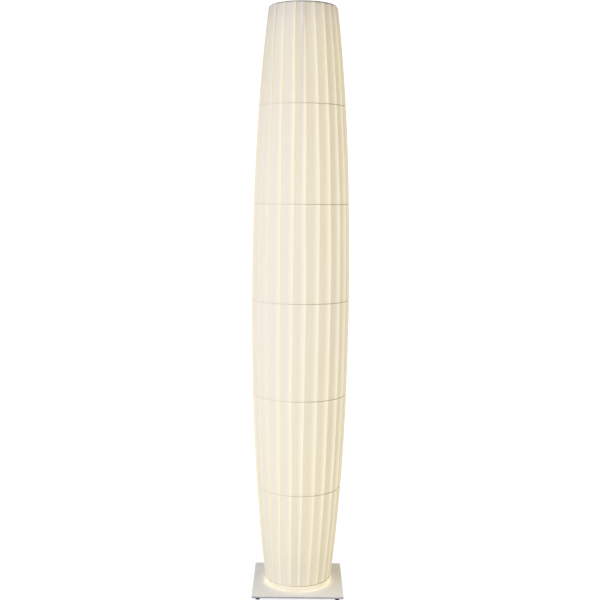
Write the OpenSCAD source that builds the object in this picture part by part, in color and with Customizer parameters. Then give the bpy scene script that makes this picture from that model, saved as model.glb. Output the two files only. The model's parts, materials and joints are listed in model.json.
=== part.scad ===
// Tall column floor lamp: a knife-pleated barrel shade on a wire frame stands over a
// square steel plate, and two long linear lamps beside a central mast light it from inside.
// Millimetres. Origin on the floor below the plate's centre, +Z up, front towards -Y.

/* [Base] */
// Side of the square base plate
plate_w = 300; // [280:5:340]
// Thickness of the base plate
plate_t = 6; // [6:0.5:8]
// Height of the rubber feet under the plate
foot_h = 10; // [9:0.5:13]
// Diameter of a rubber foot
foot_d = 16; // [14:1:20]
// Distance from the plate's edge to a foot's centre
foot_inset = 20; // [18:1:30]

/* [Shade] */
// Greatest diameter of the shade, half way up
shade_d = 320; // [316:2:330]
// Height of one of the six equal tiers between rings
tier_h = 313.5; // [312:0.5:320]
// Half height of the ellipse that the shade's outline follows
bulge_h = 1302; // [1295:1:1500]
// Height of the bottom ring's centre above the plate
ring_gap = 17.3; // [15:0.1:20]
// Thickness of the pleated cover's skin
cover_t = 1.5; // [1:0.1:2]
// Depth of the pleats, from the outermost folds to the hoops
pleat_depth = 4.6; // [4:0.1:6]
// Wire diameter of the top and bottom rings
ring_wire = 4; // [3:0.5:5]
// Wire diameter of the five hoops between them
hoop_wire = 3; // [2:0.5:3]
// Wire diameter of the upright ribs
rib_wire = 2.5; // [2:0.5:3]
// Number of upright ribs
rib_count = 6; // [3:1:8]
// Turn of the first rib from the +X axis
rib_turn = 34.7; // [0:0.1:60]

/* [Mast] */
// Outer diameter of the mast tube
mast_d = 20; // [20:0.5:21]
// Wall of the mast tube
mast_wall = 1.5; // [1.2:0.1:1.8]

/* [Lamps] */
// Distance of each linear lamp's axis from the mast's axis
lamp_x = 45; // [44:1:50]
// Length of a linear lamp between its cap faces
lamp_len = 1500; // [1200:10:1500]
// Glass diameter of a linear lamp
lamp_d = 25; // [24:0.5:25]
// Height of the lower cap face above the floor
lamp_z = 200; // [196:1:220]

/* [Hidden] */
$fn = 96;
eps = 0.01;
plate_z = foot_h;                       // underside of the plate
top_z = foot_h + plate_t;               // top face of the plate
ring_z0 = top_z + ring_gap;             // bottom ring
ring_z6 = ring_z0 + 6 * tier_h;         // top ring
mid_z = (ring_z0 + ring_z6) / 2;
cover_z0 = ring_z0 - ring_wire / 2;
cover_z1 = ring_z6 + ring_wire / 2;
mast_r = mast_d / 2;
mast_ri = mast_r - mast_wall;
fit = 0.05;                             // radial clearance of a seated part
flange_top = top_z + 46;
collar_z = flange_top + 1;              // centring star
joint_z = 958;                          // where the two mast tubes meet
head_z = ring_z6 - 34.3;                // shoulder that carries the shade
lamp_z1 = lamp_z + lamp_len;
holder_h = 23.7;
bracket_t = 4;
tip_r = shade_r(ring_z0) - pleat_depth - ring_wire - 4.3;
box_y0 = 32; box_y1 = 88; box_x = 30; box_h = 34; wall = 1.5;
gland = [0, 72];
earth = [19, 64];

// Outer radius of the shade at a height
function shade_r(z) = shade_d / 2 * sqrt(1 - pow((z - mid_z) / bulge_h, 2));
// Radius of a ring's or hoop's wire centre
function ring_r(z, wire) = shade_r(z) - pleat_depth - wire / 2;
function unit(v) = v / norm(v);

// ---------------------------------------------------------------- helpers

// A round wire from p to q
module wire(p, q, r) {
    d = q - p;
    translate(p)
        rotate([0, acos(d[2] / norm(d)), atan2(d[1], d[0])])
            cylinder(h = norm(d), r = r, $fn = 32);
}

// A tube of circular section swept along points; side is a direction the path never takes
module sweep(path, r, side = [1, 0, 0], n = 8) {
    m = len(path);
    pts = [for (i = [0 : m - 1])
        let (t = unit(path[min(i + 1, m - 1)] - path[max(i - 1, 0)]),
             b = unit(cross(t, side)), s = cross(b, t))
        for (k = [0 : n - 1])
            path[i] + r * (cos(360 * k / n) * s + sin(360 * k / n) * b)];
    faces = concat(
        [[for (k = [0 : n - 1]) k]],
        [for (i = [0 : m - 2]) for (k = [0 : n - 1])
            [i * n + k, (i + 1) * n + k, (i + 1) * n + (k + 1) % n, i * n + (k + 1) % n]],
        [[for (k = [n - 1 : -1 : 0]) (m - 1) * n + k]]);
    polyhedron(points = pts, faces = faces);
}

module at_corners(d) {
    for (x = [-d, d]) for (y = [-d, d]) translate([x, y, 0]) children();
}

// Everything that is made for the lamp on the +X side, turned for the other one
module side_b() { rotate([0, 0, 180]) children(); }
// The upper end of the lamps mirrors the lower end
module upper_end() {
    translate([0, 0, lamp_z + lamp_z1]) mirror([0, 0, 1]) children();
}

module torus(r, wire_d) {
    rotate_extrude() translate([r, 0]) circle(r = wire_d / 2, $fn = 32);
}

// ---------------------------------------------------------------- base

foot_c = plate_w / 2 - foot_inset;

module base_plate() {
    h = plate_w / 2;
    color("gainsboro")
    difference() {
        translate([-h, -h, plate_z]) cube([plate_w, plate_w, plate_t]);
        // eased edges, top and bottom, and eased corners
        for (a = [0 : 90 : 270]) rotate([0, 0, a]) {
            for (z = [plate_z, top_z])
                translate([0, -h, z]) rotate([45, 0, 0])
                    cube([plate_w + 20, 0.9, 0.9], center = true);
            translate([h, h, plate_z + plate_t / 2]) rotate([0, 0, 45])
                cube([2.2, 2.2, plate_t + 2], center = true);
        }
        // blind threads of the foot screws
        at_corners(foot_c) translate([0, 0, plate_z - 1]) cylinder(h = 5.5, r = 2.1);
        // countersunk holes of the flange screws
        for (a = [45 : 90 : 315]) rotate([0, 0, a]) translate([23, 0, 0]) {
            translate([0, 0, plate_z - 1]) cylinder(h = plate_t + 2, r = 2.75);
            translate([0, 0, plate_z - eps]) cylinder(h = 2.5, r1 = 5.2, r2 = 2.7);
        }
        // supply lead's hole, then the blind threads inside the terminal box
        translate([gland[0], gland[1], plate_z - 1]) cylinder(h = plate_t + 2, r = 6.5);
        translate([earth[0], earth[1], top_z - 4.5]) cylinder(h = 6, r = 2.1);
        for (p = [[-20, 42], [-20, 70]])
            translate([p[0], p[1], top_z - 4.5]) cylinder(h = 6, r = 2.1);
    }
}

module rubber_feet() {
    color("black") at_corners(foot_c) difference() {
        union() {
            cylinder(h = 1.2, r1 = foot_d / 2 - 1.2, r2 = foot_d / 2 - 0.2);
            translate([0, 0, 1.2]) cylinder(h = foot_h - 1.2, r1 = foot_d / 2 - 0.2, r2 = foot_d / 2);
        }
        translate([0, 0, -1]) cylinder(h = 5, r = 4.2);
        translate([0, 0, -1]) cylinder(h = foot_h + 2, r = 2.1);
    }
}

module foot_screws() {
    color("silver") at_corners(foot_c) difference() {
        union() {
            translate([0, 0, 1.4]) cylinder(h = 2.6, r = 3.8);
            translate([0, 0, 4 - eps]) cylinder(h = plate_z, r = 2);
        }
        translate([-3, -0.4, 1]) cube([6, 0.8, 1.4]);
    }
}

// ---------------------------------------------------------------- mast

module mast_flange() {
    color("silver") difference() {
        union() {
            translate([0, 0, top_z]) cylinder(h = 7, r = 30);
            translate([0, 0, top_z + 7 - eps]) cylinder(h = 1.01, r1 = 30, r2 = 29);
            translate([0, 0, top_z]) cylinder(h = flange_top - top_z - 1, r = 18);
            translate([0, 0, flange_top - 1 - eps]) cylinder(h = 1.01, r1 = 18, r2 = 17);
        }
        translate([0, 0, top_z + 4]) cylinder(h = 60, r = mast_r + fit);
        for (a = [45 : 90 : 315]) rotate([0, 0, a])
            translate([23, 0, top_z - 1]) cylinder(h = 12, r = 2.6);
        // lead entry at the back, set screw at the front
        translate([0, 5, top_z + 25]) rotate([-90, 0, 0]) cylinder(h = 20, r = 4.2);
        translate([0, -20, top_z + 38]) rotate([-90, 0, 0]) cylinder(h = 12, r = 2.6);
    }
}

module flange_screws() {
    color("silver") for (a = [45 : 90 : 315]) rotate([0, 0, a])
        translate([23, 0, 0]) difference() {
            union() {
                translate([0, 0, plate_z + 0.1]) cylinder(h = 2.4, r1 = 5, r2 = 2.5);
                translate([0, 0, plate_z + 2.4]) cylinder(h = 9.6, r = 2.5);
            }
            translate([0, 0, plate_z - 1]) cylinder(h = 2.4, r = 1.6, $fn = 6);
        }
}

module lead_holes(z) {
    translate([0, 0, z]) rotate([0, 90, 0]) cylinder(h = 40, r = 3, center = true);
}

module lower_mast() {
    color("whitesmoke") difference() {
        translate([0, 0, top_z + 4]) cylinder(h = joint_z - top_z - 4, r = mast_r);
        translate([0, 0, top_z]) cylinder(h = joint_z, r = mast_ri);
        translate([0, 5, top_z + 25]) rotate([-90, 0, 0]) cylinder(h = 20, r = 4.2);
        lead_holes(lamp_z - 13);
    }
}

module mast_coupler() {
    color("silver") difference() {
        union() {
            translate([0, 0, joint_z - 40]) cylinder(h = 84, r = mast_ri - fit);
            translate([0, 0, joint_z]) cylinder(h = 4, r = mast_r + 1.5);
        }
        translate([0, 0, joint_z - 50]) cylinder(h = 104, r = 5);
    }
}

module upper_mast() {
    color("whitesmoke") difference() {
        translate([0, 0, joint_z + 4]) cylinder(h = head_z - joint_z - 4, r = mast_r);
        translate([0, 0, joint_z]) cylinder(h = head_z, r = mast_ri);
        lead_holes(lamp_z1 + 13);
    }
}

module mast_head() {
    color("silver") {
        translate([0, 0, head_z - 24]) cylinder(h = 24.5, r = mast_ri - fit);
        translate([0, 0, head_z]) cylinder(h = 4, r = 13);
        translate([0, 0, head_z + 3]) cylinder(h = 21, r = 4.93);
    }
}

module set_screw(z) {
    translate([0, -mast_r - 7, z]) rotate([-90, 0, 0]) difference() {
        cylinder(h = 6.9, r = 2.5);
        translate([0, 0, -1]) cylinder(h = 3.5, r = 1.4, $fn = 6);
    }
}

module set_screws() {
    color("dimgray") {
        set_screw(top_z + 38);
        set_screw(collar_z + 7);
        set_screw(lamp_z - 24 - 9);
        set_screw(lamp_z1 + 24 + 9);
    }
}

// ---------------------------------------------------------------- supply side

module cable_grommet() {
    g = plate_t + wall;
    color("black") translate([gland[0], gland[1], plate_z]) difference() {
        union() {
            translate([0, 0, -1.8]) cylinder(h = 1.8, r1 = 7.6, r2 = 8.8);
            translate([0, 0, -eps]) cylinder(h = g + 2 * eps, r = 6.4);
            translate([0, 0, g]) cylinder(h = 1.8, r1 = 8.8, r2 = 7.6);
        }
        translate([0, 0, -5]) cylinder(h = 20, r = 3.6);
    }
}

module terminal_box() {
    color("white") difference() {
        union() {
            difference() {
                translate([-box_x, box_y0, top_z]) cube([2 * box_x, box_y1 - box_y0, box_h]);
                translate([-box_x + wall, box_y0 + wall, top_z + wall])
                    cube([2 * (box_x - wall), box_y1 - box_y0 - 2 * wall, box_h]);
            }
            for (p = [[-25, 83], [25, 37]])
                translate([p[0], p[1], top_z + wall / 2]) cylinder(h = box_h - wall / 2, r = 4.2);
        }
        for (p = [[-25, 83], [25, 37]])
            translate([p[0], p[1], top_z + box_h - 12]) cylinder(h = 14, r = 1.6);
        translate([gland[0], gland[1], top_z - 1]) cylinder(h = 4, r = 6.5);
        translate([earth[0], earth[1], top_z - 1]) cylinder(h = 4, r = 2.3);
        for (p = [[-20, 42], [-20, 70]])
            translate([p[0], p[1], top_z - 1]) cylinder(h = 4, r = 2.3);
        translate([0, box_y0 - 2, top_z + 24]) rotate([-90, 0, 0]) cylinder(h = 6, r = 4);
    }
}

module terminal_box_lid() {
    c = 0.2; s = 1;
    color("white") difference() {
        translate([-box_x - c - s, box_y0 - c - s, top_z + box_h - 4])
            cube([2 * (box_x + c + s), box_y1 - box_y0 + 2 * (c + s), 5.5]);
        translate([-box_x - c, box_y0 - c, top_z + box_h - 5])
            cube([2 * (box_x + c), box_y1 - box_y0 + 2 * c, 5]);
        for (p = [[-25, 83], [25, 37]])
            translate([p[0], p[1], top_z + box_h - 1]) cylinder(h = 4, r = 1.8);
    }
}

module pan_screw(r, head_r, head_h, len) {
    difference() {
        union() {
            cylinder(h = head_h, r = head_r);
            translate([0, 0, -len]) cylinder(h = len + eps, r = r);
        }
        translate([-head_r, -0.4, head_h - 0.9]) cube([2 * head_r, 0.8, 2]);
    }
}

module box_screws() {
    color("silver") {
        for (p = [[-20, 42], [-20, 70]])
            translate([p[0], p[1], top_z + wall]) pan_screw(2, 3.8, 2.4, 5.5);
        for (p = [[-25, 83], [25, 37]])
            translate([p[0], p[1], top_z + box_h + 1.5]) pan_screw(1.5, 2.9, 1.8, 11);
    }
}

module terminal_block() {
    color("ivory") difference() {
        translate([-16, 45, top_z + wall]) cube([32, 14, 14]);
        for (x = [-10, 0, 10]) {
            translate([x, 44, top_z + wall + 5]) rotate([-90, 0, 0]) cylinder(h = 16, r = 1.6);
            for (y = [48.5, 55.5])
                translate([x, y, top_z + wall + 6]) cylinder(h = 10, r = 1.9);
        }
        for (x = [-5, 5])
            translate([x - 0.6, 44, top_z + wall + 9]) cube([1.2, 16, 6]);
    }
}

module earth_screw() {
    color("goldenrod") translate([earth[0], earth[1], top_z + wall]) {
        pan_screw(2, 3.8, 3.4, 5.5);
        difference() {
            cylinder(h = 1, r = 4.6);
            translate([0, 0, -1]) cylinder(h = 3, r = 1.9);
        }
    }
}

// Three leads leave the block's front, join in one sleeve, pass into the mast and rise
// to both pairs of holders; a fourth goes from the block's back to the earth screw
loom_main = [[0, 39, 39], [0, 36, 40], [0, 30, 40], [0, 20, 40], [0, 12, 40.4], [0, 8, 41.8],
    [0, 4, 45.5], [0, 1, 52], [0, 0, 61], [0, 0, 80], [0, 0, 170]];
loom_rise = [[0, 0, 165], [0, 0, 600], [0, 0, 1200], [0, 0, lamp_z1 + 30]];

module wiring_loom() {
    lz = lamp_z - 13;
    color("dimgray") {
        sweep(loom_main, 2.4);
        sweep(loom_rise, 2.2);
        for (x = [-10, 0, 10])
            sweep([[x, 48, 22.5], [x, 44.2, 22.5], [x, 42.5, 25], [x * 0.75, 41.5, 31],
                [x * 0.3, 40, 36], [x * 0.02, 37.5, 39.6], [0, 34, 40]], 1.1);
        sweep([[10, 55, 22.5], [10, 60, 22.5], [10.6, 62.6, 22], [13, 64, 20.4], [16, 64, 19.6]],
            1, side = [0, 0, 1]);
        for (a = [0, 180]) rotate([0, 0, a]) {
            sweep([[0, 0, lz - 17], [1.5, 0, lz - 8], [5, 0, lz - 2.4], [10, 0, lz],
                [20, 0, lz], [32.5, 0, lz]], 1.5, side = [0, 1, 0]);
            upper_end() sweep([[0, 0, lz - 17], [1.5, 0, lz - 8], [5, 0, lz - 2.4], [10, 0, lz],
                [20, 0, lz], [32.5, 0, lz]], 1.5, side = [0, 1, 0]);
        }
    }
}

// ---------------------------------------------------------------- star that centres the shade

star_angles = [30, 150, 270];

module centring_star() {
    zc = collar_z + 7;
    color("silver") {
        difference() {
            translate([0, 0, collar_z]) cylinder(h = 14, r = 17);
            translate([0, 0, collar_z - 1]) cylinder(h = 16, r = mast_r + fit);
            translate([0, -20, zc]) rotate([-90, 0, 0]) cylinder(h = 12, r = 2.6);
        }
        for (a = star_angles) rotate([0, 0, a]) {
            wire([15, 0, zc - 4.8], [tip_r, 0, ring_z0 + 6], 2);
            translate([tip_r, 0, ring_z0 - 3.6]) cylinder(h = 11.6, r = 2.6, $fn = 32);
        }
    }
}

module star_bumpers() {
    color("black") for (a = star_angles) rotate([0, 0, a])
        translate([tip_r, 0, ring_z0 - 4.8]) difference() {
            cylinder(h = 9, r = 3.8, $fn = 32);
            translate([0, 0, 1.2]) cylinder(h = 12, r = 2.65, $fn = 32);
        }
}

// ---------------------------------------------------------------- lamp holders

module bracket() {
    z = lamp_z - 24;
    difference() {
        union() {
            translate([0, 0, z - 18]) cylinder(h = 18, r = 16.5);
            translate([-lamp_x - 16, -10, z - bracket_t]) cube([2 * lamp_x + 32, 20, bracket_t]);
            for (s = [-1, 1]) translate([s * lamp_x, 0, z - bracket_t]) cylinder(h = bracket_t, r = 16);
        }
        translate([0, 0, z - 20]) cylinder(h = 24, r = mast_r + fit);
        translate([0, -20, z - 9]) rotate([-90, 0, 0]) cylinder(h = 12, r = 2.6);
        for (s = [-1, 1]) translate([s * lamp_x, 0, z - 6]) cylinder(h = 8, r = 2.2);
    }
}

module lower_bracket() { color("silver") bracket(); }
module upper_bracket() { color("silver") upper_end() bracket(); }

// Rotary two-pin holder: the rotor turns in the round seat, and the pins come in from
// the side through the slot
module holder() {
    z = lamp_z - 24;
    difference() {
        intersection() {
            translate([lamp_x - 15, -12, z]) cube([30, 24, holder_h]);
            translate([lamp_x, 0, z]) cylinder(h = holder_h, r = 16.6);
        }
        translate([lamp_x, 0, z + 12]) cylinder(h = 20, r = 10);
        translate([lamp_x, -1.6, z + 16]) cube([20, 3.2, 20]);
        translate([lamp_x, 0, z - 1]) cylinder(h = 11, r = 1.85);
        translate([lamp_x - 20, 0, z + 11]) rotate([0, 90, 0]) cylinder(h = 9, r = 1.7);
    }
}

module lower_holder_a() { color("white") holder(); }
module lower_holder_b() { color("white") side_b() holder(); }
module upper_holder_a() { color("white") upper_end() holder(); }
module upper_holder_b() { color("white") side_b() upper_end() holder(); }

module holder_screw() {
    translate([lamp_x, 0, lamp_z - 24 - bracket_t]) mirror([0, 0, 1]) pan_screw(1.8, 3.6, 2.4, 13);
}

module holder_screws() {
    color("silver") {
        holder_screw();
        side_b() holder_screw();
        upper_end() holder_screw();
        side_b() upper_end() holder_screw();
    }
}

// ---------------------------------------------------------------- linear lamps

module lamp_glass() {
    translate([lamp_x, 0, lamp_z + 4]) difference() {
        cylinder(h = lamp_len - 8, r = lamp_d / 2);
        translate([0, 0, -1]) cylinder(h = lamp_len, r = lamp_d / 2 - 0.9);
    }
}

module lamp_board() {
    translate([lamp_x - 6, 1, lamp_z + 6]) cube([12, 1.6, lamp_len - 12]);
    translate([lamp_x - 8, 2.6, lamp_z + 6]) cube([16, 1.4, lamp_len - 12]);
}

module lamp_cap() {
    translate([lamp_x, 0, lamp_z]) difference() {
        union() {
            cylinder(h = 1, r1 = 12.4, r2 = 13.4);
            translate([0, 0, 1 - eps]) cylinder(h = 19, r = 13.4);
        }
        translate([0, 0, 4]) cylinder(h = 20, r = lamp_d / 2 + fit);
        for (s = [-1, 1]) translate([0, s * 6.35, -1]) cylinder(h = 7, r = 1.25, $fn = 32);
    }
}

module lamp_pins() {
    for (s = [-1, 1]) translate([lamp_x, s * 6.35, lamp_z - 7.1]) {
        cylinder(h = 10.5, r = 1.2, $fn = 32);
    }
}

module lamp_rotor() {
    translate([lamp_x, 0, lamp_z - 11.5]) difference() {
        cylinder(h = 11.2, r = 9.93);
        translate([-1.35, -12, 3.9]) cube([2.7, 24, 10]);
    }
}

module both_ends() { children(); upper_end() children(); }

module tube_a_glass() { color("ivory") lamp_glass(); }
module tube_a_led_board() { color("lightyellow") lamp_board(); }
module tube_a_caps() { color("silver") both_ends() lamp_cap(); }
module tube_a_pins() { color("goldenrod") both_ends() lamp_pins(); }
module tube_a_rotors() { color("white") both_ends() lamp_rotor(); }
module tube_b_glass() { color("ivory") side_b() lamp_glass(); }
module tube_b_led_board() { color("lightyellow") side_b() lamp_board(); }
module tube_b_caps() { color("silver") side_b() both_ends() lamp_cap(); }
module tube_b_pins() { color("goldenrod") side_b() both_ends() lamp_pins(); }
module tube_b_rotors() { color("white") side_b() both_ends() lamp_rotor(); }

// ---------------------------------------------------------------- shade frame

module hoop(k) {
    z = ring_z0 + k * tier_h;
    color("silver") translate([0, 0, z]) torus(ring_r(z, hoop_wire), hoop_wire);
}
module hoop_1() { hoop(1); }
module hoop_2() { hoop(2); }
module hoop_3() { hoop(3); }
module hoop_4() { hoop(4); }
module hoop_5() { hoop(5); }
module bottom_ring() {
    color("silver") translate([0, 0, ring_z0]) torus(ring_r(ring_z0, ring_wire), ring_wire);
}
module top_ring() {
    color("silver") translate([0, 0, ring_z6]) torus(ring_r(ring_z6, ring_wire), ring_wire);
}

// Upright wires welded inside the hoops; they bend with the outline
module frame_ribs() {
    inset = pleat_depth + hoop_wire + rib_wire / 2 - 0.15;
    z0 = ring_z0 + ring_wire / 2 - 0.25;
    z1 = ring_z6 - ring_wire / 2 + 0.25;
    n = 18;
    color("silver") for (k = [0 : rib_count - 1])
        rotate([0, 0, rib_turn + k * 360 / rib_count])
            sweep([for (i = [0 : n]) let (z = z0 + (z1 - z0) * i / n) [shade_r(z) - inset, 0, z]],
                rib_wire / 2, side = [0, 1, 0]);
}

module top_spider() {
    zh = head_z + 4.2;
    rr = ring_r(ring_z6, ring_wire);
    a0 = [15, 0, zh + 3];
    d = unit([rr, 0, ring_z6] - a0);
    color("silver") {
        difference() {
            translate([0, 0, zh]) cylinder(h = 6, r = 18);
            translate([0, 0, zh - 1]) cylinder(h = 8, r = 5.15);
        }
        for (a = [30, 150, 270]) rotate([0, 0, a])
            wire(a0, [rr, 0, ring_z6] - d * (ring_wire / 2 - 0.2), 2);
    }
}

module spider_washer() {
    color("silver") translate([0, 0, head_z + 10.25]) difference() {
        cylinder(h = 1.2, r = 12);
        translate([0, 0, -1]) cylinder(h = 4, r = 5.15);
    }
}

// Outline of the cover: the skin, and a hem or a stitched tunnel at each ring
module pleated_cover() {
    n = 24;
    outer = [for (i = [0 : n]) let (z = cover_z0 + (cover_z1 - cover_z0) * i / n) [shade_r(z), z]];
    inner = [for (i = [n : -1 : 0]) let (z = cover_z0 + (cover_z1 - cover_z0) * i / n)
        [shade_r(z) - cover_t, z]];
    color("cornsilk") {
        rotate_extrude() polygon(concat(outer, inner));
        for (k = [0 : 6]) let (z = ring_z0 + k * tier_h, w = (k == 0 || k == 6) ? ring_wire : hoop_wire)
            rotate_extrude() translate([shade_r(z) - pleat_depth + 0.05, z - w / 2])
                square([pleat_depth - 0.8, w]);
    }
}

module finial_nut() {
    z = head_z + 11.6;
    color("silver") translate([0, 0, z]) difference() {
        union() {
            cylinder(h = 1, r1 = 10, r2 = 11);
            translate([0, 0, 1 - eps]) cylinder(h = 13, r = 11);
            translate([0, 0, 14 - 2 * eps]) cylinder(h = 2, r1 = 11, r2 = 8);
        }
        translate([0, 0, -1]) cylinder(h = 14.6, r = 5);
        for (a = [0 : 15 : 345]) rotate([0, 0, a])
            translate([11.4, 0, 2]) cylinder(h = 11, r = 0.9, $fn = 16);
    }
}

// ---------------------------------------------------------------- assembly

base_plate();
rubber_feet();
foot_screws();
mast_flange();
flange_screws();
lower_mast();
mast_coupler();
upper_mast();
mast_head();
set_screws();
cable_grommet();
terminal_box();
terminal_box_lid();
box_screws();
terminal_block();
earth_screw();
wiring_loom();
centring_star();
star_bumpers();
lower_bracket();
upper_bracket();
lower_holder_a();
lower_holder_b();
upper_holder_a();
upper_holder_b();
holder_screws();
tube_a_glass();
tube_a_led_board();
tube_a_caps();
tube_a_pins();
tube_a_rotors();
tube_b_glass();
tube_b_led_board();
tube_b_caps();
tube_b_pins();
tube_b_rotors();
top_ring();
hoop_5();
hoop_4();
hoop_3();
hoop_2();
hoop_1();
bottom_ring();
frame_ribs();
top_spider();
spider_washer();
pleated_cover();
finial_nut();
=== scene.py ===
import json
import math

import bpy
from mathutils import Matrix, Vector


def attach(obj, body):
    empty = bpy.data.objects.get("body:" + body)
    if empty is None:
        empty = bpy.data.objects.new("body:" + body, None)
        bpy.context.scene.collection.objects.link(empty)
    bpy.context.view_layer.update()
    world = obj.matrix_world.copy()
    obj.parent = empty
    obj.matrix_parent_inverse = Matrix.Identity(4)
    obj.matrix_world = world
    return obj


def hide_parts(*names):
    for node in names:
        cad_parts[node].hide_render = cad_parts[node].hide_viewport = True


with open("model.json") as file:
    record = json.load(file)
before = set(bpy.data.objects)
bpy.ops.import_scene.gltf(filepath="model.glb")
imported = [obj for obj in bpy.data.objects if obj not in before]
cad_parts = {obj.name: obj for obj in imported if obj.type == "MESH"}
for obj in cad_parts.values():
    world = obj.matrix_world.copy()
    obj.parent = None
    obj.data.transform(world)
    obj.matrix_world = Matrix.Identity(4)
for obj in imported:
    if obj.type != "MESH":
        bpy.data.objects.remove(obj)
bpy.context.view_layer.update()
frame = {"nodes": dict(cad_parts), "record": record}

# ---------------------------------------------------------------- sizes, as in the CAD (metres)

RING0, TIER, MID, HALF, WIDE = 0.0333, 0.3135, 0.9738, 1.302, 0.16
RINGS = [RING0 + TIER * k for k in range(7)]
PLEATS = 24


def shade_r(z):
    return WIDE * math.sqrt(1 - ((z - MID) / HALF) ** 2)


def rnd(i, j=0):
    """A repeatable number from 0 to 1 for a pair of indices."""
    v = math.sin(i * 12.9898 + j * 78.233 + 0.37) * 43758.5453
    return v - math.floor(v)


def smooth(e0, e1, x):
    """0 at e0, 1 at e1, either way round."""
    t = min(1.0, max(0.0, (x - e0) / (e1 - e0)))
    return t * t * (3 - 2 * t)


def link_object(name, mesh):
    obj = bpy.data.objects.new(name, mesh)
    bpy.context.scene.collection.objects.link(obj)
    return obj


# ---------------------------------------------------------------- camera

tilt, roll = math.radians(6.052), math.radians(0.563)
right, ahead, up = Vector((1, 0, 0)), Vector((0, math.cos(tilt), -math.sin(tilt))), Vector((0, math.sin(tilt), math.cos(tilt)))
right2 = right * math.cos(roll) + up * math.sin(roll)
up2 = up * math.cos(roll) - right * math.sin(roll)
cam_data = bpy.data.cameras.new("camera")
cam_data.sensor_width = 36
cam_data.lens = 58.92
cam = bpy.data.objects.new("camera", cam_data)
bpy.context.scene.collection.objects.link(cam)
cam.matrix_world = Matrix((
    (right2.x, up2.x, -ahead.x, -0.0013),
    (right2.y, up2.y, -ahead.y, -3.2262),
    (right2.z, up2.z, -ahead.z, 1.3139),
    (0, 0, 0, 1)))
cam_data.clip_start, cam_data.clip_end = 0.05, 200
bpy.context.scene.camera = cam

# ---------------------------------------------------------------- material helpers


class Graph:
    def __init__(self, name):
        self.mat = bpy.data.materials.new(name)
        self.mat.use_nodes = True
        self.tree = self.mat.node_tree
        self.tree.nodes.clear()
        self.out = self.add("ShaderNodeOutputMaterial")

    def add(self, kind, **props):
        n = self.tree.nodes.new(kind)
        for k, v in props.items():
            if k.startswith("in_"):
                n.inputs[k[3:].replace("_", " ")].default_value = v
            else:
                setattr(n, k, v)
        return n

    def link(self, a, out, b, into):
        self.tree.links.new(a.outputs[out], b.inputs[into])
        return b

    def coords(self, stretch=(1, 1, 1), uv=None):
        if uv:
            src = self.add("ShaderNodeUVMap", uv_map=uv)
            name = "UV"
        else:
            src = self.add("ShaderNodeTexCoord")
            name = "Object"
        m = self.add("ShaderNodeMapping")
        m.inputs["Scale"].default_value = stretch
        self.link(src, name, m, "Vector")
        return m

    def noise(self, scale, detail=3.0, rough=0.55, stretch=(1, 1, 1), uv=None, distort=0.0):
        n = self.add("ShaderNodeTexNoise", noise_dimensions="3D")
        n.inputs["Scale"].default_value = scale
        n.inputs["Detail"].default_value = detail
        n.inputs["Roughness"].default_value = rough
        n.inputs["Distortion"].default_value = distort
        self.link(self.coords(stretch, uv), "Vector", n, "Vector")
        return n

    def ramp(self, src, out, stops):
        r = self.add("ShaderNodeValToRGB")
        e = r.color_ramp.elements
        while len(e) < len(stops):
            e.new(0.5)
        for el, (pos, col) in zip(e, stops):
            el.position = pos
            el.color = (*col, 1)
        self.link(src, out, r, "Fac")
        return r

    def span(self, src, out, lo, hi, from_lo=0.0, from_hi=1.0):
        m = self.add("ShaderNodeMapRange")
        m.inputs["From Min"].default_value = from_lo
        m.inputs["From Max"].default_value = from_hi
        m.inputs["To Min"].default_value = lo
        m.inputs["To Max"].default_value = hi
        self.link(src, out, m, "Value")
        return m


def tone(c, k):
    return tuple(min(1.0, max(0.0, v * k)) for v in c)


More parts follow.
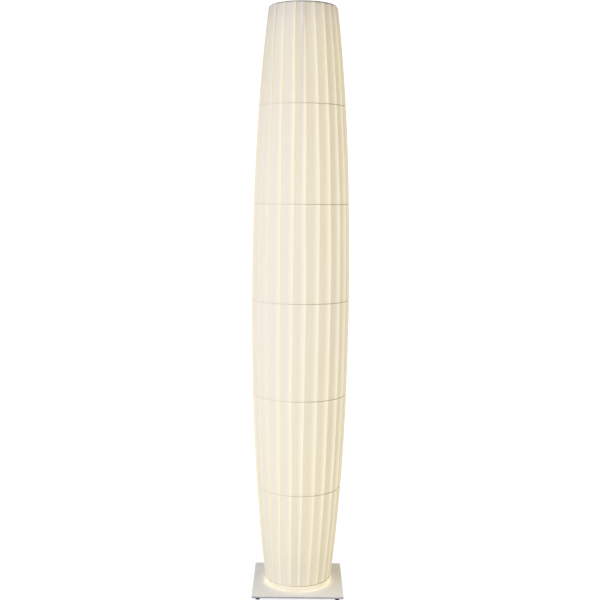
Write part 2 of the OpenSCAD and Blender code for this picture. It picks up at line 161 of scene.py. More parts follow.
def finish_material(name, base, rough, metallic=0.0, big=9.0, fine=900.0, vary=0.06, rvary=0.08,
                    bump=0.15, bump_scale=1400.0, depth=0.00008, stretch=(1, 1, 1), edge=0.0004,
                    worn=None, specks=None, coat=0.0, ior=1.5):
    """A Principled surface whose colour, roughness and relief all vary by procedural noise."""
    g = Graph(name)
    p = g.add("ShaderNodeBsdfPrincipled")
    p.inputs["Metallic"].default_value = metallic
    p.inputs["IOR"].default_value = ior
    if coat:
        p.inputs["Coat Weight"].default_value = coat
        p.inputs["Coat Roughness"].default_value = 0.12
    n1 = g.noise(big, 4, 0.6, stretch)
    col = g.ramp(n1, "Fac", [(0.3, tone(base, 1 - vary)), (0.55, base), (0.75, tone(base, 1 + vary))])
    last, out = col, "Color"
    if specks:
        dots = g.noise(specks[1], 2, 0.5)
        mask = g.span(dots, "Fac", 0.0, specks[2], 0.56, 0.7)
        mix = g.add("ShaderNodeMix", data_type="RGBA")
        mix.inputs["B"].default_value = (*specks[0], 1)
        g.tree.links.new(mask.outputs["Result"], mix.inputs["Factor"])
        g.tree.links.new(last.outputs[out], mix.inputs[6])
        mix.inputs[7].default_value = (*specks[0], 1)
        last, out = mix, 2
    bev = g.add("ShaderNodeBevel", samples=4)
    bev.inputs["Radius"].default_value = edge
    if worn:
        geo = g.add("ShaderNodeNewGeometry")
        dot = g.add("ShaderNodeVectorMath", operation="DOT_PRODUCT")
        wide = g.add("ShaderNodeBevel", samples=4)
        wide.inputs["Radius"].default_value = 0.0007
        g.link(wide, "Normal", dot, 0)
        g.link(geo, "Normal", dot, 1)
        rub = g.noise(260, 3, 0.7)
        amount = g.span(dot, "Value", worn[1], 0.0, 0.8, 0.99)
        mul = g.add("ShaderNodeMath", operation="MULTIPLY")
        g.link(amount, "Result", mul, 0)
        g.link(rub, "Fac", mul, 1)
        mix = g.add("ShaderNodeMix", data_type="RGBA")
        g.tree.links.new(mul.outputs[0], mix.inputs["Factor"])
        g.tree.links.new(last.outputs[out], mix.inputs[6])
        mix.inputs[7].default_value = (*worn[0], 1)
        last, out = mix, 2
    g.tree.links.new(last.outputs[out], p.inputs["Base Color"])
    n2 = g.noise(fine * 0.2, 4, 0.65, stretch)
    r = g.span(n2, "Fac", max(0.02, rough - rvary), min(1.0, rough + rvary), 0.3, 0.7)
    g.link(r, "Result", p, "Roughness")
    n3 = g.noise(bump_scale, 3, 0.6, stretch)
    b = g.add("ShaderNodeBump")
    b.inputs["Strength"].default_value = bump
    b.inputs["Distance"].default_value = depth
    g.link(n3, "Fac", b, "Height")
    g.link(bev, "Normal", b, "Normal")
    g.link(b, "Normal", p, "Normal")
    g.link(p, "BSDF", g.out, "Surface")
    return g.mat


# ---------------------------------------------------------------- materials of the hard parts

MATS = {
    "plate_paint": finish_material(
        "plate_powder_coat", (0.54, 0.515, 0.468), 0.78, ior=1.14, big=5, vary=0.025, rvary=0.05, bump=0.35,
        bump_scale=950, depth=0.00006, edge=0.0006, worn=((0.64, 0.63, 0.60), 0.5),
        specks=((0.43, 0.415, 0.39), 1500, 0.2)),
    "mast_paint": finish_material(
        "mast_powder_coat", (0.83, 0.82, 0.79), 0.42, big=6, vary=0.03, bump=0.3, bump_scale=1100,
        depth=0.00005, specks=((0.7, 0.69, 0.66), 1800, 0.25)),
    "zinc_steel": finish_material(
        "zinc_plated_steel", (0.68, 0.69, 0.70), 0.32, metallic=1.0, big=60, vary=0.12, rvary=0.12,
        bump=0.25, bump_scale=2600, depth=0.00003, specks=((0.5, 0.52, 0.56), 420, 0.5)),
    "wire_steel": finish_material(
        "drawn_wire", (0.19, 0.18, 0.165), 0.42, metallic=0.4, big=45, vary=0.12, rvary=0.1,
        bump=0.3, bump_scale=1800, depth=0.00004, specks=((0.3, 0.3, 0.3), 700, 0.35)),
    "nut_chrome": finish_material(
        "turned_nickel", (0.74, 0.73, 0.71), 0.2, metallic=1.0, big=80, vary=0.05, rvary=0.06,
        bump=0.2, bump_scale=900, depth=0.00002, stretch=(1, 1, 14)),
    "black_rubber": finish_material(
        "black_rubber", (0.010, 0.0095, 0.0095), 0.85, ior=1.12, big=70, vary=0.25, rvary=0.12, bump=0.5,
        bump_scale=1700, depth=0.0001, specks=((0.03, 0.029, 0.028), 800, 0.3)),
    "white_plastic": finish_material(
        "moulded_white", (0.80, 0.80, 0.78), 0.38, big=20, vary=0.03, bump=0.25, bump_scale=3200,
        depth=0.00003, specks=((0.68, 0.68, 0.65), 900, 0.2)),
    "block_plastic": finish_material(
        "moulded_ivory", (0.74, 0.70, 0.58), 0.45, big=40, vary=0.05, bump=0.25, bump_scale=2600,
        depth=0.00003),
    "contact_brass": finish_material(
        "brass", (0.78, 0.57, 0.27), 0.28, metallic=1.0, big=120, vary=0.1, rvary=0.1, bump=0.2,
        bump_scale=2400, depth=0.00002),
    "lead_sheath": finish_material(
        "lead_sheath", (0.16, 0.16, 0.165), 0.5, big=60, vary=0.15, bump=0.3, bump_scale=1500,
        depth=0.00005, specks=((0.26, 0.26, 0.26), 600, 0.3)),
    "board_aluminium": finish_material(
        "extruded_aluminium", (0.76, 0.76, 0.75), 0.34, metallic=1.0, big=30, vary=0.06, bump=0.35,
        bump_scale=1300, depth=0.00003, stretch=(1, 1, 0.04)),
    "cap_aluminium": finish_material(
        "anodised_cap", (0.70, 0.70, 0.70), 0.36, metallic=1.0, big=60, vary=0.05, bump=0.3,
        bump_scale=1400, depth=0.00003, stretch=(1, 1, 8)),
}


def opal_glass():
    g = Graph("opal_glass_lit")
    p = g.add("ShaderNodeBsdfPrincipled")
    p.inputs["Roughness"].default_value = 0.3
    p.inputs["IOR"].default_value = 1.5
    p.inputs["Emission Color"].default_value = (1.0, 0.84, 0.60, 1)
    n = g.noise(120, 3, 0.6, (1, 1, 0.15))
    g.link(g.ramp(n, "Fac", [(0.3, (0.86, 0.84, 0.78)), (0.7, (0.94, 0.93, 0.89))]), "Color", p, "Base Color")
    # a little dimmer at both ends, where the board stops short of the caps
    tc = g.add("ShaderNodeTexCoord")
    sep = g.add("ShaderNodeSeparateXYZ")
    g.link(tc, "Object", sep, "Vector")
    away = g.add("ShaderNodeMath", operation="SUBTRACT")
    g.link(sep, "Z", away, 0)
    away.inputs[1].default_value = 0.95
    mag = g.add("ShaderNodeMath", operation="ABSOLUTE")
    g.link(away, 0, mag, 0)
    g.link(g.span(mag, 0, LAMP, LAMP * 0.55, 0.70, 0.745), "Result", p, "Emission Strength")
    b = g.add("ShaderNodeBump")
    b.inputs["Strength"].default_value = 0.1
    b.inputs["Distance"].default_value = 0.00003
    g.link(g.noise(1800, 2), "Fac", b, "Height")
    g.link(b, "Normal", p, "Normal")
    g.link(p, "BSDF", g.out, "Surface")
    return g.mat


LAMP = 0.55
MATS["opal_glass"] = opal_glass()


LAMP_SHARE = (0.060, 0.0435, 0.0225)      # what the lamps add right behind the cloth


def lamp_reach(x):
    """Share of that at this height: the lit length of the lamps stops short of both ends."""
    return smooth(0.99, 0.76, x) * smooth(0.0, 0.24, x)


def cloth(name, reflect, through, share, glow, weave=1.0, fold=None):
    """Fine plain-weave cloth: part of the light comes back, part of it passes through, and it glows with the light of
    the lamps behind it. fold=(reflect, glow) gives the values along a pleat's edge, where a brighter glow on a darker
    base is painted light."""
    g = Graph(name)
    p = g.add("ShaderNodeBsdfPrincipled")
    p.inputs["Roughness"].default_value = 0.78
    p.inputs["Sheen Weight"].default_value = 0.06
    p.inputs["Sheen Roughness"].default_value = 0.45
    p.inputs["IOR"].default_value = 1.42
    p.inputs["Emission Strength"].default_value = 1.0
    t = g.add("ShaderNodeBsdfTranslucent")
    broad = g.noise(7, 3, 0.55, uv="sheet")
    slub = g.noise(1.0, 3, 0.6, (55, 1500, 1), uv="sheet")
    slub2 = g.noise(1.0, 2, 0.5, (1300, 26, 1), uv="sheet")
    both = g.add("ShaderNodeMath", operation="ADD")
    g.link(slub, "Fac", both, 0)
    g.link(slub2, "Fac", both, 1)
    yarn = g.span(both, 0, 0.955, 1.0, 0.75, 1.15)

    def scaled(node, out, by, by_out):
        m = g.add("ShaderNodeVectorMath", operation="SCALE")
        g.link(node, out, m, 0)
        g.link(by, by_out, m, "Scale")
        return m

    # height up the sheet, and how near the closest wire ring is, for the painted shadow line of each ring
    sheet_uv = g.add("ShaderNodeUVMap", uv_map="sheet")
    at = g.add("ShaderNodeSeparateXYZ")
    g.link(sheet_uv, "UV", at, "Vector")
    height = g.span(at, "Y", 0, 1, 0, 1.92)
    tier = g.span(at, "Y", 0.0, 6.0, RING0, RING0 + 6 * TIER)
    tier.clamp = False
    near = g.add("ShaderNodeMath", operation="PINGPONG")
    g.link(tier, "Result", near, 0)
    near.inputs[1].default_value = 0.5
    over = g.span(near, 0, 1.0, 0.0, HOOP_SHADOW_HALF_WIDTH * 0.35 / TIER, HOOP_SHADOW_HALF_WIDTH / TIER)
    patchy = g.span(g.noise(1.0, 2, 0.6, (60, 3, 1), uv="sheet"), "Fac", 0.7, 1.0, 0.35, 0.62)
    line = g.add("ShaderNodeMath", operation="MULTIPLY")
    g.link(over, "Result", line, 0)
    g.link(patchy, "Result", line, 1)

    def by_height(stops, over=(1, 1, 1)):
        lit_up = [(x, [c + b * lamp_reach(x) / o for c, b, o in zip(v, LAMP_SHARE, over)]) for x, v in stops]
        return g.ramp(height, "Result", [(x, tone(v, 0.75)) for x, v in lit_up])

    def times(node, out, by, by_out):
        m = g.add("ShaderNodeVectorMath", operation="MULTIPLY")
        g.link(node, out, m, 0)
        g.link(by, by_out, m, 1)
        return m

    if fold:
        fold_uv = g.add("ShaderNodeUVMap", uv_map="fold")
        fat = g.add("ShaderNodeSeparateXYZ")
        g.link(fold_uv, "UV", fat, "Vector")
        # painted light: a bright strip along each pleat's edge, fading across the pleat
        strip = g.ramp(fat, "X", [(0.0, (0.62,) * 3), (0.10, (1.0,) * 3), (0.19, (0.86,) * 3), (0.29, (0.5,) * 3),
                                  (0.40, (0.22,) * 3), (0.52, (0.06,) * 3), (0.66, (0.0,) * 3)])
        strip.color_ramp.interpolation = "B_SPLINE"
        # painted shadow along the lapped seam
        seam = g.span(fat, "Y", 1.0, SEAM_SHADOW, 0.0, 1.0)
        # painted light: how much this pleat's edge stands out, and a slow rise across the pleat towards it
        pleat_uv = g.add("ShaderNodeUVMap", uv_map="pleat")
        pl = g.add("ShaderNodeSeparateXYZ")
        g.link(pleat_uv, "UV", pl, "Vector")
        strong = g.add("ShaderNodeMath", operation="MULTIPLY_ADD", use_clamp=True)
        g.link(strip, "Color", strong, 0)
        g.link(pl, "Y", strong, 1)
        g.link(pl, "X", strong, 2)
        # the painted ring shadow is weaker or firmer round the shade
        wire_uv = g.add("ShaderNodeUVMap", uv_map="wire")
        wr = g.add("ShaderNodeSeparateXYZ")
        g.link(wire_uv, "UV", wr, "Vector")
        weaker = g.add("ShaderNodeMath", operation="MULTIPLY")
        g.link(line, 0, weaker, 0)
        g.link(wr, "X", weaker, 1)
        line = weaker
        # the side that faces the lamps, where a brighter glow is painted for the lamps' light falling on it
        side = g.add("ShaderNodeNewGeometry")

    # painted shadow of the rings: darkens towards the given colour along each ring's line
    def ring_shadow_tint(left):
        m = g.add("ShaderNodeMix", data_type="RGBA")
        m.inputs[6].default_value = (1, 1, 1, 1)
        m.inputs[7].default_value = (*left, 1)
        g.tree.links.new(line.outputs[0], m.inputs["Factor"])
        return m

    def blend(factor, out, a, b):
        m = g.add("ShaderNodeMix", data_type="RGBA")
        for socket, v in ((6, a), (7, b)):
            if isinstance(v, tuple) and isinstance(v[0], float):
                m.inputs[socket].default_value = (*v, 1)
            else:
                g.tree.links.new(v[0].outputs[v[1]], m.inputs[socket])
        g.tree.links.new(factor.outputs[out], m.inputs["Factor"])
        return m

    def shaded(plain, edge, left, heights=None):
        if fold:
            ends = [(v, None) for v in (plain, edge)]
            if heights:
                ends = []
                for v, stops in ((plain, heights[0]), (edge, heights[1])):
                    k = g.add("ShaderNodeVectorMath", operation="MULTIPLY")
                    k.inputs[0].default_value = tuple(c / 0.75 for c in v)
                    g.link(by_height(stops, v), "Color", k, 1)
                    ends.append((k, "Vector"))
                lo = blend(strong, 0, *ends)
            else:
                lo = blend(strong, 0, plain, edge)
            last = times(lo, 2, ring_shadow_tint(left), 2)
            last = scaled(last, "Vector", seam, "Result")
            last = scaled(last, "Vector", wr, "Y")
        else:
            lo = g.add("ShaderNodeVectorMath", operation="MULTIPLY")
            lo.inputs[0].default_value = tuple(c / 0.75 for c in plain)
            g.link(by_height(heights[0] if heights else ((0.0, (1.0,) * 3), (1.0, (1.0,) * 3)), (1e6,) * 3), "Color", lo, 1)
            last = times(lo, "Vector", ring_shadow_tint(left), 2)
        return scaled(last, "Vector", yarn, "Result")

    g.link(shaded(reflect, fold[0] if fold else reflect, HOOP_SHADOW_BASE), "Vector", p, "Base Color")
    lit = shaded(glow, fold[1] if fold else glow, HOOP_SHADOW_GLOW, (FLAT_ENDS, EDGE_ENDS))
    if fold:
        inside = g.add("ShaderNodeVectorMath", operation="SCALE")
        inside.inputs[0].default_value = INNER_GLOW
        g.link(yarn, "Result", inside, "Scale")
        both_sides = blend(side, "Backfacing", (lit, "Vector"), (inside, "Vector"))
        g.link(both_sides, 2, p, "Emission Color")
    else:
        g.link(lit, "Vector", p, "Emission Color")
    col = g.ramp(broad, "Fac", [(0.3, tone(through, 0.985)), (0.7, through)])
    g.link(scaled(col, "Color", yarn, "Result"), "Vector", t, "Color")

    # yarns over and under
    u = g.add("ShaderNodeTexWave", wave_type="BANDS", bands_direction="X")
    v = g.add("ShaderNodeTexWave", wave_type="BANDS", bands_direction="Y")
    for w, sc in ((u, 540), (v, 470)):
        w.inputs["Scale"].default_value = sc
        w.inputs["Distortion"].default_value = 0.6
        w.inputs["Detail"].default_value = 1.0
        w.inputs["Detail Scale"].default_value = 0.15
        g.link(g.coords(uv="sheet"), "Vector", w, "Vector")
    add = g.add("ShaderNodeMath", operation="ADD")
    g.link(u, "Fac", add, 0)
    g.link(v, "Fac", add, 1)
    crease = g.noise(1.0, 3, 0.6, (90, 14, 1), uv="sheet")
    b1 = g.add("ShaderNodeBump")
    b1.inputs["Strength"].default_value = 0.12 * weave
    b1.inputs["Distance"].default_value = 0.0001
    g.link(add, 0, b1, "Height")
    b2 = g.add("ShaderNodeBump")
    b2.inputs["Strength"].default_value = 0.10
    b2.inputs["Distance"].default_value = 0.0015
    g.link(crease, "Fac", b2, "Height")
    g.link(b1, "Normal", b2, "Normal")
    g.link(b2, "Normal", p, "Normal")
    g.link(b2, "Normal", t, "Normal")
    mix = g.add("ShaderNodeMixShader")
    mix.inputs["Fac"].default_value = share
    g.tree.links.new(p.outputs["BSDF"], mix.inputs[1])
    g.tree.links.new(t.outputs["BSDF"], mix.inputs[2])
    g.tree.links.new(mix.outputs[0], g.out.inputs["Surface"])
    return g.mat


# light behind the cloth at these heights, as a share of that at half height: flat part, and pleat edge
FLAT_ENDS = ((0.0, (0.90, 0.84, 0.73)), (0.04, (1.0, 0.94, 0.82)), (0.08, (1.075, 1.035, 0.89)), (0.12, (1.08, 1.05, 0.93)),
             (0.20, (1.06, 1.045, 0.95)), (0.30, (1.04, 1.04, 1.0)), (0.45, (1.015, 1.01, 1.04)),
             (0.60, (0.975, 0.97, 0.965)), (0.68, (0.95, 0.945, 0.90)), (0.75, (0.90, 0.88, 0.80)), (0.81, (0.85, 0.81, 0.745)),
             (0.85, (0.83, 0.76, 0.625)), (0.90, (0.775, 0.73, 0.475)), (0.932, (0.77, 0.71, 0.475)),
             (0.97, (0.695, 0.605, 0.475)), (1.0, (0.44, 0.38, 0.355)))
EDGE_ENDS = ((0.0, (0.97, 0.94, 0.89)), (0.04, (1.03, 1.0, 0.95)), (0.09, (1.09, 1.06, 1.0)), (0.2, (1.06, 1.05, 1.02)),
             (0.35, (1.02, 1.02, 1.01)), (0.5, (1.0, 1.0, 1.0)), (0.78, (1.0, 0.995, 0.98)),
             (0.90, (1.07, 1.05, 1.02)), (0.955, (1.02, 1.0, 0.97)), (1.0, (0.84, 0.80, 0.76)))
HOOP_SHADOW_HALF_WIDTH = 0.0013                        # half width of the painted shadow line that each ring casts on the cloth
HOOP_SHADOW_BASE, HOOP_SHADOW_GLOW = (0.76, 0.70, 0.52), (0.24, 0.18, 0.07)   # painted shadow: what is left of base colour and glow in a ring's line
# painted shadow along the lapped seam: the cloth there is darkened to this share
SEAM_SHADOW = 0.2
INNER_GLOW = (1.19, 1.14, 0.93)           # painted light: the glow of the side that faces the lamps
CLOTH = cloth("pleated_cream_cloth", (0.56, 0.53, 0.48), (0.95, 0.86, 0.68), 0.03, (0.388, 0.354, 0.238),
              fold=((0.24, 0.225, 0.21), (0.75, 0.69, 0.53)))
THREAD = cloth("cream_thread", (0.46, 0.42, 0.35), (0.80, 0.72, 0.58), 0.03, (0.20, 0.17, 0.10), weave=0.5)

for part in frame["record"]["subparts"]:
    if part["material_slot"] in MATS:
        skin = frame["nodes"][part["node"]].data.materials
        skin.clear()
        skin.append(MATS[part["material_slot"]])

# ---------------------------------------------------------------- pleated cover

# Outermost fold of each pleat, degrees round from the front towards the right, at half height
RIDGES = [5, 21, 36.6, 51.4, 66, 78.5, 89.8, 107.5, 122, 137.5, 152, 168, 183, 197.5, 212, 227.5,
          242, 257.5, 271.5, 285.5, 301, 317, 334, 351]
# How strongly each fold follows the cover's slight twist
FOLLOW = [1.25, 1.0, 0.6, 0.6, 0.9, 0.8, 1.0, 1.1, 0.9, 1.0, 0.8, 1.1, 1.0, 0.9, 1.0, 1.1, 0.9, 1.0,
          0.8, 0.9, 1.1, 1.3, 1.8, 0.5]
PER_PLEAT = 0.0484          # cloth across one pleat
VALLEY = 0.0042             # how far the inner folds lie below the outline
SHALLOW = {18: 0.6, 19: 0.42, 20: 0.42, 21: 0.62}   # pleats whose inner fold is pulled in less, as shares of that
PROUD = {5: 0.0006, 6: 0.0012, 7: 0.0006}   # and pleats that stand out a little further
EDGE_Z = (0.0318, 1.9119)   # lower and upper edge of the sheet
# How light the flat part of each pleat is, against the others
TONE = [1, 0.99, 0.99, 0.945, 0.95, 0.97, 0.97, 0.97, 1, 0.985, 0.97, 0.99, 1, 0.98, 0.99, 0.97, 0.99, 1,
        0.98, 0.99, 1, 0.99, 0.985, 0.99]
# How much of the light each pleat's edge lets through, against the others
EDGE_SHARE = [1, 1, 1, 0.92, 0.75, 0.3, 0.05, 0.6, 0.8, 0.9, 0.75, 0.85, 0.9, 0.8, 0.9, 0.75, 0.85, 0.7,
              0.15, 0.05, 0.12, 0.5, 0.95, 1]
BRIGHT_LIP = {17: 0.4, 18: 0.4, 19: 0.5, 20: 0.65, 21: 0.6}   # folds where only the turned edge takes the light


def ridge_angle(k, z):
    turns, i = divmod(k, PLEATS)
    a = RIDGES[i] + 360 * turns
    a += FOLLOW[i] * (1.2 - 2.7 * ((z - 0.9) / 1.0) ** 2)
    # the folds are pinned a little differently on each hoop
    q = (z - RING0) / TIER
    t = int(min(5, max(0, math.floor(q))))
    f = q - t
    pin0, pin1 = rnd(i, t) - 0.5, rnd(i, t + 1) - 0.5
    a += 1.1 * (pin0 + (pin1 - pin0) * smooth(0, 1, f))
    a += 0.16 * math.sin(2 * math.pi * (z / 0.37 + rnd(i, 40)))
    if i == 0:
        # the closing seam swings back towards the middle at the very top
        a -= 0.8 * smooth(1.80, 1.91, z) + 0.9 * smooth(0.35, 0.08, z)
    elif i > 20:
        # and the pleats to the left of it lean away
        a -= (4.0, 2.2, 2.6)[i - 21] * smooth(1.52, 1.9, z) + (0.4, 1.6, 1.9)[i - 21] * smooth(0.36, 0.10, z)
    return math.radians(a)


def seam_angle(z):
    """The line where the sheet's two edges are joined runs almost straight up the front."""
    return math.radians(-2.1 + 2.3 * smooth(0.3, 1.75, z) + 0.12 * math.sin(5.1 * z))


def seam_shadow_share(z):
    """Strength of the painted shadow along the joint: it shows at both ends and sinks into the panel between them."""
    return 0.08 + 0.66 * smooth(1.68, 1.89, z) + 0.17 * smooth(0.32, 0.10, z)


def edge_width(z):
    """The painted bright edge of a pleat is narrow at both ends of the shade, where more cloth is folded away."""
    return 0.52 + 0.48 * smooth(0.125, 0.157, shade_r(z))


def wire_shadow_share(angle, z):
    """How dark the painted shadow of the wire behind is: firmer on the right of the front, and uneven round the back.
    """
    deg = (math.degrees(angle) + 180) % 360 - 180
    k = round((z - RING0) / TIER)
    front = 0.36 + 1.0 * smooth(-45, 50, deg)
    back = 0.6 + 0.25 * math.sin(math.radians(deg * 2) + k)
    share = front + (back - front) * smooth(80, 110, abs(deg))
    return share * (0.85 + 0.3 * rnd(int(deg // 15) + 40, k + 60))


def near_ring(z, width):
    d = min(abs(z - r) for r in RINGS)
    return math.exp(-(d / width) ** 2)


def pleat_row(z):
    """Points of one level of the sheet as (angle, depth below the outline, place in the pleat, painted seam shadow,
    painted slow rise of light, painted edge light, painted wire shadow, tone), from one edge of the sheet to the other."""
    R = shade_r(z)
    hidden = (PER_PLEAT - 2 * math.pi * R / PLEATS) / 2
    tie = near_ring(z, 0.0045)
    pinch = near_ring(z, 0.0022)
    pucker = 0.00022 * near_ring(z, 0.03)
    room = 0.00436 + 0.0011 * smooth(0.002, 0.02, min(abs(z - r) for r in RINGS))   # the wire is in the way
    row = []
    for k in range(1, PLEATS + 1):
        i = k % PLEATS
        a, b = ridge_angle(k - 1, z), ridge_angle(k, z)
        fold_a = hidden * (0.85 + 0.3 * rnd(k - 1 if k > 1 else PLEATS, 7)) / R
        fold_b = hidden * (0.85 + 0.3 * rnd(k if k < PLEATS else PLEATS, 7)) / R
        top = 0.0003 + 0.0005 * rnd(i, 11) + 0.00025 * math.sin(2 * math.pi * (z / 0.52 + rnd(i, 12)))
        deep = VALLEY * SHALLOW.get(i, 1)
        slim = SHALLOW.get((i + 1) % PLEATS, 1)
        after = VALLEY * slim
        top = (max(0.0, top) + 0.0012 * pinch) * slim - PROUD.get(i, 0.0)
        start = a - fold_a
        ph = rnd(i, 3)
        sag = 0.0004 * math.sin(2 * math.pi * (z / 0.43 + rnd(i, 5)))
        places = [0, .04, .1, .2, .32, .44, .54, .62, .70, .78, .85, .91, .96, 1]
        seam_t = 9.0
        if i == 0:
            seam_t = min(0.97, max(0.3, (seam_angle(z) + 2 * math.pi - start) / (b - start)))
            step = 0.0007 / (R * (b - start))
            places = sorted(places + [seam_t - step, seam_t, seam_t + step])
        width = edge_width(z)
        narrow = 15.0 * width
        drift = 0.42 * (1 - width) / 0.48
        share = EDGE_SHARE[i] * (1 - 0.3 * smooth(1.55, 1.72, z) if i in (0, 3) else 1)
        if i == 0:
            share *= 1 - 0.9 * smooth(1.78, 1.89, z)
        for t in places:
            rise = max(0.0, (t - 0.56) / 0.44)
            s = 0.10 * t + 0.90 * rise * rise * (1.6 - 0.6 * rise)
            base = deep + (min(deep, after) - deep) * smooth(0.1, 0.75, t)
            d = base + (top - base) * s
            d += sag * math.sin(math.pi * t) + pucker * math.sin(2 * math.pi * (3.2 * t + ph)) * math.sin(math.pi * t)
            d += 0.00032 * tie * (1 - 0.5 * s)
            d = min(d, room)
            ang = start + (b - start) * t
            # the strip stays outside the layer that is folded back under it
            under = max(0.0, (b - ang) / fold_b)
            if under < 1.15:
                d = min(d, top + 0.0006 * slim + (after - top - 0.001 * slim) * min(1.0, under) ** 0.5)
            if i == 0:
                # slanting crease beside the seam, at the top
                reach = smooth(1.79, 1.895, z)
                line = 1 - 0.28 * smooth(1.91, 1.83, z)
                d -= 0.0011 * reach * math.exp(-((t - line) / 0.05) ** 2) * (0 if t > 0.99 else 1)
            at_seam = 1.0 if t == seam_t else 0.0
            d += 0.0003 * at_seam
            # painted light rising across the pleat towards its edge
            slow = share * drift * t
            if i == 0:
                # the lapped edge takes the light from the strip beside it, and the crease gives some back
                slow = share * drift * max(0.0, (t - seam_t) / (1 - seam_t))
                slow += 0.42 * reach * math.exp(-((math.degrees(b - ang) - 6.0) / 2.0) ** 2)
            row.append((ang, d, math.degrees(b - ang) / narrow, at_seam * seam_shadow_share(z),
                        slow, share * (1 - drift), wire_shadow_share(ang, z), TONE[i] + (1 - TONE[i]) * t ** 3))
        lip = (0.0, 0.0, share * drift, share * (1 - drift), wire_shadow_share(b, z), 1.0)
        if i in BRIGHT_LIP:
            ends = 1 - 0.7 * smooth(1.5, 1.8, z) - 0.9 * smooth(0.45, 0.15, z)
            lip = (0.1, 0.0, 0.0, BRIGHT_LIP[i] * ends, wire_shadow_share(b, z), 1.0)
        row.append((b + 0.00022 / R, top + 0.00028 * slim, *lip))
        row.append((b + 0.00012 / R, top + 0.00062 * slim, *lip))
        for q in (0.15, 0.5, 0.85):
            row.append((b - fold_b * q, top + 0.0008 * slim + (after - top - 0.001 * slim) * q ** 0.5,
                        lip[0] + 0.45 * q, *lip[1:]))
        row.append((b - fold_b - 0.0002 / R, after + 0.0001 * (1 - tie), 0.6, 0.0, 0.0, 0.5, 0.5, 1.0))
    # the last inner layer runs on behind the first pleat, where the two edges are joined
    b = ridge_angle(PLEATS, z)
    fold_b = hidden * (0.85 + 0.3 * rnd(PLEATS, 7)) / R
    for q in (0.002, 0.005, 0.008):
        row.append((b - fold_b + q / R, VALLEY + 0.0002, 0.5, 0.0, 0.0, 0.5, 0.5, 1.0))
    return row


def levels():
    steps = (0, .0018, .0042, .008, .014, .024, .042, .07, .108)
    zs = []
    for k in range(6):
        zs += [RINGS[k] + s for s in steps]
        zs.append(RINGS[k] + TIER / 2)
        zs += [RINGS[k + 1] - s for s in steps[:0:-1]]
    zs.append(RINGS[6])
    zs[0], zs[-1] = EDGE_Z
    return zs


def build_cover():
    zs = levels()
    rows, uvs, folds = [], [], []
    for z in zs:
        R = shade_r(z)
        pts, us, u = [], [], 0.0
        marks = pleat_row(z)
        for ang, d, *_ in marks:
            lift = 0.0008 * (1 - math.sin(ang)) if z == EDGE_Z[1] else 0.0
            p = Vector(((R - d) * math.sin(ang), -(R - d) * math.cos(ang), z + lift))
            if pts:
                u += (p - pts[-1]).length
            pts.append(p)
            us.append(u)
        rows.append(pts)
        uvs.append(us)
        folds += [m[2:] for m in marks]
    n = len(rows[0])
    verts = [p for r in rows for p in r]
    faces = [(i * n + j, i * n + j + 1, (i + 1) * n + j + 1, (i + 1) * n + j)
             for i in range(len(rows) - 1) for j in range(n - 1)]
    mesh = bpy.data.meshes.new("pleated_sheet")
    mesh.from_pydata(verts, [], faces)
    for name in ("sheet", "fold", "pleat", "wire"):
        mesh.uv_layers.new(name=name)
    uv, fold, pleat, wire = (mesh.uv_layers[name] for name in ("sheet", "fold", "pleat", "wire"))
    flat_u = [u for us in uvs for u in us]
    for loop in mesh.loops:
        v = loop.vertex_index
        uv.data[loop.index].uv = (flat_u[v], zs[v // n])
        fold.data[loop.index].uv = folds[v][0:2]
        pleat.data[loop.index].uv = folds[v][2:4]
        wire.data[loop.index].uv = folds[v][4:6]
    mesh.shade_smooth()
    mesh.materials.append(CLOTH)
    return link_object("pleated_sheet", mesh), rows


def tube_mesh(name, paths, radius, sides, closed=False, mat=None):
    """Round thread or hem along each of the paths, as one mesh."""
    verts, faces, uvs = [], [], []
    for path in paths:
        m, base = len(path), len(verts)
        length = 0.0
        for i, p in enumerate(path):
            a = path[(i - 1) % m] if closed else path[max(i - 1, 0)]
            b = path[(i + 1) % m] if closed else path[min(i + 1, m - 1)]
            t = (b - a).normalized()
            s = t.cross(Vector((0, 0, 1)))
            s = s.normalized() if s.length > 1e-6 else Vector((1, 0, 0))
            w = s.cross(t).normalized()
            if i:
                length += (p - path[i - 1]).length
            for k in range(sides):
                c = 2 * math.pi * k / sides
                verts.append(p + (s * math.cos(c) + w * math.sin(c)) * radius)
                uvs.append((length, k * radius))
        for i in range(m if closed else m - 1):
            for k in range(sides):
                i2, k2 = (i + 1) % m, (k + 1) % sides
                faces.append((base + i * sides + k, base + i * sides + k2,
                              base + i2 * sides + k2, base + i2 * sides + k))
        if not closed:
            faces.append(tuple(base + k for k in range(sides - 1, -1, -1)))
            faces.append(tuple(base + (m - 1) * sides + k for k in range(sides)))
    mesh = bpy.data.meshes.new(name)
    mesh.from_pydata(verts, [], faces)
    uv = mesh.uv_layers.new(name="sheet")
    for loop in mesh.loops:
        uv.data[loop.index].uv = uvs[loop.vertex_index]
    mesh.shade_smooth()
    if mat:
        mesh.materials.append(mat)
    return link_object(name, mesh)


cover, cover_rows = build_cover()

# narrow rolled hems along both edges of the sheet
hem_low = tube_mesh("rolled_hem_bottom", [cover_rows[0]], 0.00042, 6, mat=THREAD)
hem_top = tube_mesh("rolled_hem_top", [cover_rows[-1]], 0.00042, 6, mat=THREAD)


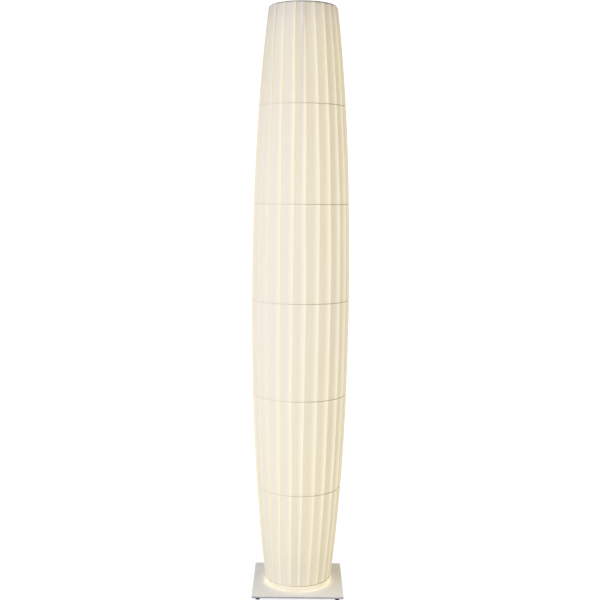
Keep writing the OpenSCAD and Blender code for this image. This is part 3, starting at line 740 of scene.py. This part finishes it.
def stitches():
    """Thread loops that tie the inner folds to the rings and hoops."""
    paths = []
    for k, z in enumerate(RINGS):
        R = shade_r(z)
        wire = 0.002 if k in (0, 6) else 0.0015
        hidden = (PER_PLEAT - 2 * math.pi * R / PLEATS) / 2
        for i in range(PLEATS):
            for side in (-1, 1):
                ang = ridge_angle(i, z) - hidden / R + side * 0.0016 / R
                mid = R - 0.0046 - wire
                lean = side * 0.0009
                loop = []
                for s in range(14):
                    c = 2 * math.pi * s / 14
                    rad = mid + (wire + 0.0003) * math.cos(c) + (0.0003 if math.cos(c) > 0 else 0)
                    h = z + (wire + 0.0003) * math.sin(c)
                    turn = ang + lean * math.sin(c) / R
                    loop.append(Vector((rad * math.sin(turn), -rad * math.cos(turn), h)))
                paths.append(loop)
    return tube_mesh("tie_stitches", paths, 0.00022, 5, closed=True, mat=THREAD)


ties = stitches()

for piece in (cover, hem_low, hem_top, ties):
    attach(piece, "shade")
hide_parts("pleated_cover")

# ---------------------------------------------------------------- floor, world and lights

g = Graph("pale_floor")
fp = g.add("ShaderNodeBsdfPrincipled")
fp.inputs["Roughness"].default_value = 0.9
fp.inputs["Specular IOR Level"].default_value = 0.1
fp.inputs["Emission Color"].default_value = (1, 1, 1, 1)
# the pale floor looks brighter than the light that it throws back on the lamp
seen_by = g.add("ShaderNodeLightPath")
g.link(g.span(seen_by, "Is Camera Ray", 0.0, 0.90), "Result", fp, "Emission Strength")
g.link(g.ramp(g.noise(0.8, 2), "Fac", [(0.3, (0.21, 0.21, 0.21)), (0.7, (0.22, 0.22, 0.22))]), "Color", fp, "Base Color")
g.link(fp, "BSDF", g.out, "Surface")
floor_mesh = bpy.data.meshes.new("floor")
floor_mesh.from_pydata([(-60, -60, 0), (60, -60, 0), (60, 60, 0), (-60, 60, 0)], [], [(0, 1, 2, 3)])
floor_mesh.materials.append(g.mat)
floor = link_object("floor", floor_mesh)

world = bpy.data.worlds.new("studio")
bpy.context.scene.world = world
world.use_nodes = True
wt = world.node_tree
wt.nodes.clear()
wo = wt.nodes.new("ShaderNodeOutputWorld")
seen, lit = wt.nodes.new("ShaderNodeBackground"), wt.nodes.new("ShaderNodeBackground")
seen.inputs["Color"].default_value, seen.inputs["Strength"].default_value = (1, 1, 1, 1), 1.1
lit.inputs["Color"].default_value, lit.inputs["Strength"].default_value = (1, 0.965, 0.91, 1), 0.35
wl, wm = wt.nodes.new("ShaderNodeLightPath"), wt.nodes.new("ShaderNodeMixShader")
wt.links.new(wl.outputs["Is Camera Ray"], wm.inputs["Fac"])
wt.links.new(lit.outputs[0], wm.inputs[1])
wt.links.new(seen.outputs[0], wm.inputs[2])
wt.links.new(wm.outputs[0], wo.inputs["Surface"])


def sun(name, towards, strength, color, angle):
    data = bpy.data.lights.new(name, "SUN")
    data.energy = strength
    data.color = color
    data.angle = math.radians(angle)
    obj = bpy.data.objects.new(name, data)
    bpy.context.scene.collection.objects.link(obj)
    obj.rotation_mode = "QUATERNION"
    obj.rotation_quaternion = Vector(towards).normalized().to_track_quat("-Z", "Y")
    return obj


sun("key_left", (0.71, 0.515, -0.47), 2.45, (0.47, 0.61, 1.0), 80)
sun("top_fill", (-0.05, 0.2, -1), 2.7, (1, 0.95, 0.82), 50)

# light that leaves the open foot of the shade and falls on the plate round it; it goes where the shade goes
for k in range(36):
    turn = math.radians(10 * k + 5)
    data = bpy.data.lights.new("foot_spill", "AREA")
    data.shape = "RECTANGLE"
    data.size, data.size_y = 0.0195, 0.004
    # less towards the front, where the plate gets more of the room's light
    data.energy = 0.00120 * (1.06 - 0.38 * math.cos(turn))
    data.color = (1.0, 0.90, 0.61)
    spill = bpy.data.objects.new("foot_spill", data)
    bpy.context.scene.collection.objects.link(spill)
    spill.parent = cover
    spill.location = (0.1043 * math.sin(turn), -0.1043 * math.cos(turn), 0.0285)
    spill.rotation_mode = "QUATERNION"
    out = Vector((math.sin(turn), -math.cos(turn), 0))
    aim = out * math.sin(math.radians(23)) - Vector((0, 0, math.cos(math.radians(23))))
    side = Vector((math.cos(turn), math.sin(turn), 0))
    spill.rotation_quaternion = Matrix((side, side.cross(aim), aim * -1)).transposed().to_quaternion()
    spill.visible_camera = False

# and the light that falls straight down inside the foot
data = bpy.data.lights.new("inner_spill", "AREA")
data.shape = "DISK"
data.size = 2 * 0.093
data.energy = 0.0325
data.color = (0.90, 0.93, 1.0)
down = bpy.data.objects.new("inner_spill", data)
bpy.context.scene.collection.objects.link(down)
down.parent = cover
down.location = (0, 0, 0.0300)
down.visible_camera = False

scene = bpy.context.scene
scene.view_settings.view_transform = "Standard"
scene.view_settings.look = "None"
scene.view_settings.exposure = 0
scene.view_settings.gamma = 1
scene.cycles.use_denoising = True
